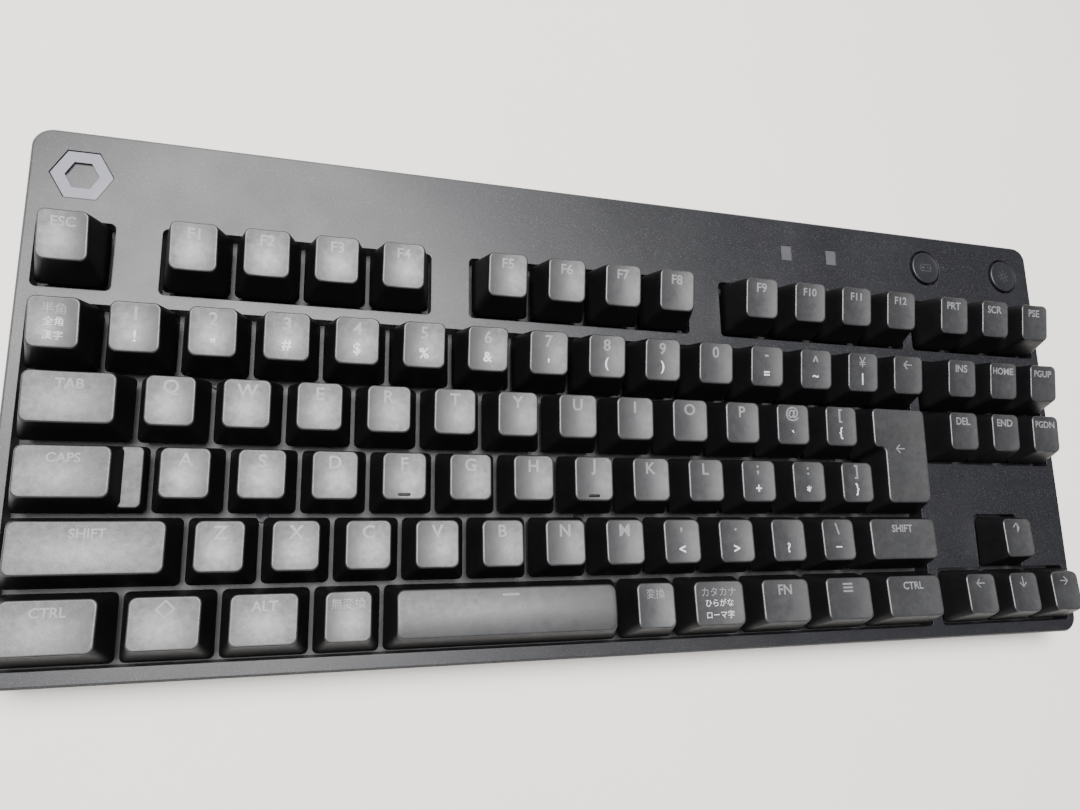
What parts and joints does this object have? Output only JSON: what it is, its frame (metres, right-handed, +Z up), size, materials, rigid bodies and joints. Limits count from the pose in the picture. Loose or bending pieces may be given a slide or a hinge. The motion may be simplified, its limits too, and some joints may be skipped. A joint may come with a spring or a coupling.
{
  "type": "mechanical keyboard",
  "caption": "Compact desk keyboard without a number pad: sprung stepped keycaps in a dark sloped case, two round buttons, fold-out rear feet and a rear cable socket.",
  "frame": {"origin": "centre of the footprint, on the surface that the rubber pads rest on", "axes": "+X to the right along the rows of keys, +Y from the space bar towards the rear, +Z up"},
  "size_m": [0.355, 0.1506, 0.0346],
  "materials": {
    "case_plastic": "satin dark grey",
    "keycap_plastic": "satin dark grey",
    "button_plastic": "satin black",
    "switch_plastic": "matt black",
    "plate_metal": "painted pale grey",
    "board": "solder mask",
    "screw_steel": "plain",
    "socket_steel": "plain",
    "pad_rubber": "matt",
    "emblem_plastic": "satin pale grey",
    "window_plastic": "frosted",
    "lamp": "clear",
    "chip": "matt"
  },
  "bodies": {
    "case": {"top_case": "case_plastic", "bottom_case": "case_plastic", "switch_plate": "plate_metal", "circuit_board": "board", "switch_housings": "switch_plastic", "backlight_lamps": "lamp", "stabiliser_housings": "switch_plastic", "case_screws": "screw_steel", "plate_screws": "screw_steel", "usb_socket": "socket_steel", "rubber_pads": "pad_rubber", "emblem": "emblem_plastic", "indicator_windows": "window_plastic", "indicator_lamps": "lamp", "controller_chip": "chip", "button_switches": "switch_plastic", "foot_hinge_pins": "screw_steel"},
    "key_escape_body": {"key_escape": "keycap_plastic"},
    "keys_f1_to_f4_body": {"keys_f1_to_f4": "keycap_plastic"},
    "keys_f5_to_f8_body": {"keys_f5_to_f8": "keycap_plastic"},
    "keys_f9_to_f12_body": {"keys_f9_to_f12": "keycap_plastic"},
    "keys_print_scroll_pause_body": {"keys_print_scroll_pause": "keycap_plastic"},
    "key_half_full_width_body": {"key_half_full_width": "keycap_plastic"},
    "keys_digits_body": {"keys_digits": "keycap_plastic"},
    "keys_minus_caret_yen_body": {"keys_minus_caret_yen": "keycap_plastic"},
    "key_backspace_body": {"key_backspace": "keycap_plastic"},
    "keys_insert_home_page_up_body": {"keys_insert_home_page_up": "keycap_plastic"},
    "key_tab_body": {"key_tab": "keycap_plastic"},
    "keys_letters_q_to_p_body": {"keys_letters_q_to_p": "keycap_plastic"},
    "keys_at_and_open_bracket_body": {"keys_at_and_open_bracket": "keycap_plastic"},
    "keys_delete_end_page_down_body": {"keys_delete_end_page_down": "keycap_plastic"},
    "key_caps_lock_body": {"key_caps_lock": "keycap_plastic"},
    "keys_letters_a_to_l_body": {"keys_letters_a_to_l": "keycap_plastic"},
    "keys_semicolon_to_close_bracket_body": {"keys_semicolon_to_close_bracket": "keycap_plastic"},
    "key_left_shift_body": {"key_left_shift": "keycap_plastic"},
    "keys_letters_z_to_m_body": {"keys_letters_z_to_m": "keycap_plastic"},
    "keys_comma_to_backslash_body": {"keys_comma_to_backslash": "keycap_plastic"},
    "key_right_shift_body": {"key_right_shift": "keycap_plastic"},
    "key_arrow_up_body": {"key_arrow_up": "keycap_plastic"},
    "key_left_control_body": {"key_left_control": "keycap_plastic"},
    "key_left_super_body": {"key_left_super": "keycap_plastic"},
    "key_left_alt_body": {"key_left_alt": "keycap_plastic"},
    "key_non_convert_body": {"key_non_convert": "keycap_plastic"},
    "key_space_bar_body": {"key_space_bar": "keycap_plastic"},
    "key_convert_body": {"key_convert": "keycap_plastic"},
    "key_kana_body": {"key_kana": "keycap_plastic"},
    "key_function_body": {"key_function": "keycap_plastic"},
    "key_menu_body": {"key_menu": "keycap_plastic"},
    "key_right_control_body": {"key_right_control": "keycap_plastic"},
    "key_arrow_left_body": {"key_arrow_left": "keycap_plastic"},
    "key_arrow_down_body": {"key_arrow_down": "keycap_plastic"},
    "key_arrow_right_body": {"key_arrow_right": "keycap_plastic"},
    "key_enter_body": {"key_enter": "keycap_plastic"},
    "button_game_mode_body": {"button_game_mode": "button_plastic"},
    "button_light_body": {"button_light": "button_plastic"},
    "foot_left_body": {"foot_left": "case_plastic", "foot_left_tip": "pad_rubber"},
    "foot_right_body": {"foot_right": "case_plastic", "foot_right_tip": "pad_rubber"}
  },
  "joints": [
    {"name": "key_escape_press", "type": "slide", "parent": "case", "child": "key_escape_body", "axis": [0, 0.0523, -0.9986], "range_m": [0, 0.0035], "stiffness_N_per_m": 120, "springref_m": -0.004},
    {"name": "keys_f1_to_f4_press", "type": "slide", "parent": "case", "child": "keys_f1_to_f4_body", "axis": [0, 0.0523, -0.9986], "range_m": [0, 0.0035], "stiffness_N_per_m": 480, "springref_m": -0.004},
    {"name": "keys_f5_to_f8_press", "type": "slide", "parent": "case", "child": "keys_f5_to_f8_body", "axis": [0, 0.0523, -0.9986], "range_m": [0, 0.0035], "stiffness_N_per_m": 480, "springref_m": -0.004},
    {"name": "keys_f9_to_f12_press", "type": "slide", "parent": "case", "child": "keys_f9_to_f12_body", "axis": [0, 0.0523, -0.9986], "range_m": [0, 0.0035], "stiffness_N_per_m": 480, "springref_m": -0.004},
    {"name": "keys_print_scroll_pause_press", "type": "slide", "parent": "case", "child": "keys_print_scroll_pause_body", "axis": [0, 0.0523, -0.9986], "range_m": [0, 0.0035], "stiffness_N_per_m": 360, "springref_m": -0.004},
    {"name": "key_half_full_width_press", "type": "slide", "parent": "case", "child": "key_half_full_width_body", "axis": [0, 0.0523, -0.9986], "range_m": [0, 0.0035], "stiffness_N_per_m": 120, "springref_m": -0.004},
    {"name": "keys_digits_press", "type": "slide", "parent": "case", "child": "keys_digits_body", "axis": [0, 0.0523, -0.9986], "range_m": [0, 0.0035], "stiffness_N_per_m": 1200, "springref_m": -0.004},
    {"name": "keys_minus_caret_yen_press", "type": "slide", "parent": "case", "child": "keys_minus_caret_yen_body", "axis": [0, 0.0523, -0.9986], "range_m": [0, 0.0035], "stiffness_N_per_m": 360, "springref_m": -0.004},
    {"name": "key_backspace_press", "type": "slide", "parent": "case", "child": "key_backspace_body", "axis": [0, 0.0523, -0.9986], "range_m": [0, 0.0035], "stiffness_N_per_m": 120, "springref_m": -0.004},
    {"name": "keys_insert_home_page_up_press", "type": "slide", "parent": "case", "child": "keys_insert_home_page_up_body", "axis": [0, 0.0523, -0.9986], "range_m": [0, 0.0035], "stiffness_N_per_m": 360, "springref_m": -0.004},
    {"name": "key_tab_press", "type": "slide", "parent": "case", "child": "key_tab_body", "axis": [0, 0.0523, -0.9986], "range_m": [0, 0.0035], "stiffness_N_per_m": 120, "springref_m": -0.004},
    {"name": "keys_letters_q_to_p_press", "type": "slide", "parent": "case", "child": "keys_letters_q_to_p_body", "axis": [0, 0.0523, -0.9986], "range_m": [0, 0.0035], "stiffness_N_per_m": 1200, "springref_m": -0.004},
    {"name": "keys_at_and_open_bracket_press", "type": "slide", "parent": "case", "child": "keys_at_and_open_bracket_body", "axis": [0, 0.0523, -0.9986], "range_m": [0, 0.0035], "stiffness_N_per_m": 240, "springref_m": -0.004},
    {"name": "keys_delete_end_page_down_press", "type": "slide", "parent": "case", "child": "keys_delete_end_page_down_body", "axis": [0, 0.0523, -0.9986], "range_m": [0, 0.0035], "stiffness_N_per_m": 360, "springref_m": -0.004},
    {"name": "key_caps_lock_press", "type": "slide", "parent": "case", "child": "key_caps_lock_body", "axis": [0, 0.0523, -0.9986], "range_m": [0, 0.0035], "stiffness_N_per_m": 120, "springref_m": -0.004},
    {"name": "keys_letters_a_to_l_press", "type": "slide", "parent": "case", "child": "keys_letters_a_to_l_body", "axis": [0, 0.0523, -0.9986], "range_m": [0, 0.0035], "stiffness_N_per_m": 1080, "springref_m": -0.004},
    {"name": "keys_semicolon_to_close_bracket_press", "type": "slide", "parent": "case", "child": "keys_semicolon_to_close_bracket_body", "axis": [0, 0.0523, -0.9986], "range_m": [0, 0.0035], "stiffness_N_per_m": 360, "springref_m": -0.004},
    {"name": "key_left_shift_press", "type": "slide", "parent": "case", "child": "key_left_shift_body", "axis": [0, 0.0523, -0.9986], "range_m": [0, 0.0035], "stiffness_N_per_m": 120, "springref_m": -0.004},
    {"name": "keys_letters_z_to_m_press", "type": "slide", "parent": "case", "child": "keys_letters_z_to_m_body", "axis": [0, 0.0523, -0.9986], "range_m": [0, 0.0035], "stiffness_N_per_m": 840, "springref_m": -0.004},
    {"name": "keys_comma_to_backslash_press", "type": "slide", "parent": "case", "child": "keys_comma_to_backslash_body", "axis": [0, 0.0523, -0.9986], "range_m": [0, 0.0035], "stiffness_N_per_m": 480, "springref_m": -0.004},
    {"name": "key_right_shift_press", "type": "slide", "parent": "case", "child": "key_right_shift_body", "axis": [0, 0.0523, -0.9986], "range_m": [0, 0.0035], "stiffness_N_per_m": 120, "springref_m": -0.004},
    {"name": "key_arrow_up_press", "type": "slide", "parent": "case", "child": "key_arrow_up_body", "axis": [0, 0.0523, -0.9986], "range_m": [0, 0.0035], "stiffness_N_per_m": 120, "springref_m": -0.004},
    {"name": "key_left_control_press", "type": "slide", "parent": "case", "child": "key_left_control_body", "axis": [0, 0.0523, -0.9986], "range_m": [0, 0.0035], "stiffness_N_per_m": 120, "springref_m": -0.004},
    {"name": "key_left_super_press", "type": "slide", "parent": "case", "child": "key_left_super_body", "axis": [0, 0.0523, -0.9986], "range_m": [0, 0.0035], "stiffness_N_per_m": 120, "springref_m": -0.004},
    {"name": "key_left_alt_press", "type": "slide", "parent": "case", "child": "key_left_alt_body", "axis": [0, 0.0523, -0.9986], "range_m": [0, 0.0035], "stiffness_N_per_m": 120, "springref_m": -0.004},
    {"name": "key_non_convert_press", "type": "slide", "parent": "case", "child": "key_non_convert_body", "axis": [0, 0.0523, -0.9986], "range_m": [0, 0.0035], "stiffness_N_per_m": 120, "springref_m": -0.004},
    {"name": "key_space_bar_press", "type": "slide", "parent": "case", "child": "key_space_bar_body", "axis": [0, 0.0523, -0.9986], "range_m": [0, 0.0035], "stiffness_N_per_m": 120, "springref_m": -0.004},
    {"name": "key_convert_press", "type": "slide", "parent": "case", "child": "key_convert_body", "axis": [0, 0.0523, -0.9986], "range_m": [0, 0.0035], "stiffness_N_per_m": 120, "springref_m": -0.004},
    {"name": "key_kana_press", "type": "slide", "parent": "case", "child": "key_kana_body", "axis": [0, 0.0523, -0.9986], "range_m": [0, 0.0035], "stiffness_N_per_m": 120, "springref_m": -0.004},
    {"name": "key_function_press", "type": "slide", "parent": "case", "child": "key_function_body", "axis": [0, 0.0523, -0.9986], "range_m": [0, 0.0035], "stiffness_N_per_m": 120, "springref_m": -0.004},
    {"name": "key_menu_press", "type": "slide", "parent": "case", "child": "key_menu_body", "axis": [0, 0.0523, -0.9986], "range_m": [0, 0.0035], "stiffness_N_per_m": 120, "springref_m": -0.004},
    {"name": "key_right_control_press", "type": "slide", "parent": "case", "child": "key_right_control_body", "axis": [0, 0.0523, -0.9986], "range_m": [0, 0.0035], "stiffness_N_per_m": 120, "springref_m": -0.004},
    {"name": "key_arrow_left_press", "type": "slide", "parent": "case", "child": "key_arrow_left_body", "axis": [0, 0.0523, -0.9986], "range_m": [0, 0.0035], "stiffness_N_per_m": 120, "springref_m": -0.004},
    {"name": "key_arrow_down_press", "type": "slide", "parent": "case", "child": "key_arrow_down_body", "axis": [0, 0.0523, -0.9986], "range_m": [0, 0.0035], "stiffness_N_per_m": 120, "springref_m": -0.004},
    {"name": "key_arrow_right_press", "type": "slide", "parent": "case", "child": "key_arrow_right_body", "axis": [0, 0.0523, -0.9986], "range_m": [0, 0.0035], "stiffness_N_per_m": 120, "springref_m": -0.004},
    {"name": "key_enter_press", "type": "slide", "parent": "case", "child": "key_enter_body", "axis": [0, 0.0523, -0.9986], "range_m": [0, 0.0035], "stiffness_N_per_m": 120, "springref_m": -0.004},
    {"name": "button_game_mode_press", "type": "slide", "parent": "case", "child": "button_game_mode_body", "axis": [0, 0.0523, -0.9986], "range_m": [0, 0.0006], "stiffness_N_per_m": 300, "springref_m": -0.0012},
    {"name": "button_light_press", "type": "slide", "parent": "case", "child": "button_light_body", "axis": [0, 0.0523, -0.9986], "range_m": [0, 0.0006], "stiffness_N_per_m": 300, "springref_m": -0.0012},
    {"name": "foot_left_fold", "type": "hinge", "parent": "case", "child": "foot_left_body", "pos_m": [-0.1155, 0.04328, 0.0031], "axis": [-1, 0, 0], "range_deg": [0, 100]},
    {"name": "foot_right_fold", "type": "hinge", "parent": "case", "child": "foot_right_body", "pos_m": [0.1155, 0.04328, 0.0031], "axis": [-1, 0, 0], "range_deg": [0, 100]}
  ]
}
